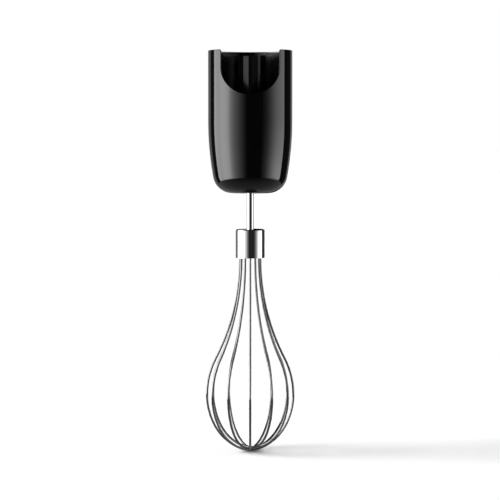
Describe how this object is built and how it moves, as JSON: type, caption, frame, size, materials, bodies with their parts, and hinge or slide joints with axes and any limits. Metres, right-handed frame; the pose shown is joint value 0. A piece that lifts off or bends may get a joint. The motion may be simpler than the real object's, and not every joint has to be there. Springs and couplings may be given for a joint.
{
  "type": "whisk attachment for hand mixer",
  "caption": "Geared whisk attachment for a hand mixer: a glossy cup-shaped gearbox housing with an open drive socket, and a pull-out steel balloon whisk.",
  "frame": {"origin": "centre of the socket's mouth, in the plane of the housing's rim", "axes": "+Z along the drive axis, out of the socket towards the motor handle; -Y towards the rim's front cut-out; the whisk points along -Z"},
  "size_m": [0.0578, 0.0578, 0.2608],
  "materials": {
    "shell": "glossy black moulded plastic",
    "liner": "satin black moulded plastic",
    "coupling": "semi-gloss black moulded plastic",
    "seal": "black rubber",
    "gearcase": "dark grey glass-filled plastic",
    "ring": "off-white acetal",
    "nylon": "natural nylon",
    "bronze": "oil-filled sintered bronze",
    "zinc": "zinc-plated steel screws",
    "steel": "turned and ground steel",
    "spring": "blackened spring steel",
    "polished": "polished stainless steel",
    "wire": "polished stainless steel wire",
    "holder": "grey moulded plastic"
  },
  "bodies": {
    "housing": {"outer_shell": "shell", "socket_liner": "liner", "socket_seal": "seal", "gearbox_cover": "gearcase", "ring_gear": "ring", "gear_case": "gearcase", "input_bush": "bronze", "upper_output_bush": "bronze", "lower_output_bush": "bronze", "thrust_washer": "nylon", "shaft_seal": "seal", "cover_screws": "zinc", "socket_screws": "zinc"},
    "input": {"drive_coupling": "coupling", "input_shaft": "steel", "input_circlip": "spring", "sun_gear": "steel", "input_washer": "nylon"},
    "output": {"planet_carrier": "steel", "planet_pin_1": "steel", "planet_pin_2": "steel", "planet_pin_3": "steel", "planet_clips": "spring", "output_spindle": "steel", "spindle_washer": "nylon", "spindle_circlip": "spring", "detent_balls": "steel", "detent_ring": "spring"},
    "planet_1": {"planet_gear_1": "nylon"},
    "planet_2": {"planet_gear_2": "nylon"},
    "planet_3": {"planet_gear_3": "nylon"},
    "whisk": {"whisk_shaft": "polished", "ferrule": "polished", "wire_holder": "holder", "wire_loop_1": "wire", "wire_loop_2": "wire", "wire_loop_3": "wire", "wire_loop_4": "wire", "wire_loop_5": "wire", "wire_loop_6": "wire"}
  },
  "joints": [
    {"name": "output_spin", "type": "hinge", "parent": "housing", "child": "output", "pos_m": [0, 0, -0.07], "axis": [0, 0, 1], "continuous": true},
    {"name": "input_spin", "type": "hinge", "parent": "housing", "child": "input", "pos_m": [0, 0, -0.035], "axis": [0, 0, 1], "continuous": true},
    {"name": "planet_1_spin", "type": "hinge", "parent": "output", "child": "planet_1", "pos_m": [0, 0.0108, -0.0448], "axis": [0, 0, 1], "continuous": true},
    {"name": "planet_2_spin", "type": "hinge", "parent": "output", "child": "planet_2", "pos_m": [-0.00935, -0.0054, -0.0448], "axis": [0, 0, 1], "continuous": true},
    {"name": "planet_3_spin", "type": "hinge", "parent": "output", "child": "planet_3", "pos_m": [0.00935, -0.0054, -0.0448], "axis": [0, 0, 1], "continuous": true},
    {"name": "whisk_pull", "type": "slide", "parent": "output", "child": "whisk", "axis": [0, 0, -1], "range_m": [0, 0.03]}
  ],
  "couplings": [
    {"joint": "input_spin", "follows": "output_spin", "ratio": 6},
    {"joint": "planet_1_spin", "follows": "output_spin", "ratio": -2.5},
    {"joint": "planet_2_spin", "follows": "output_spin", "ratio": -2.5},
    {"joint": "planet_3_spin", "follows": "output_spin", "ratio": -2.5}
  ]
}
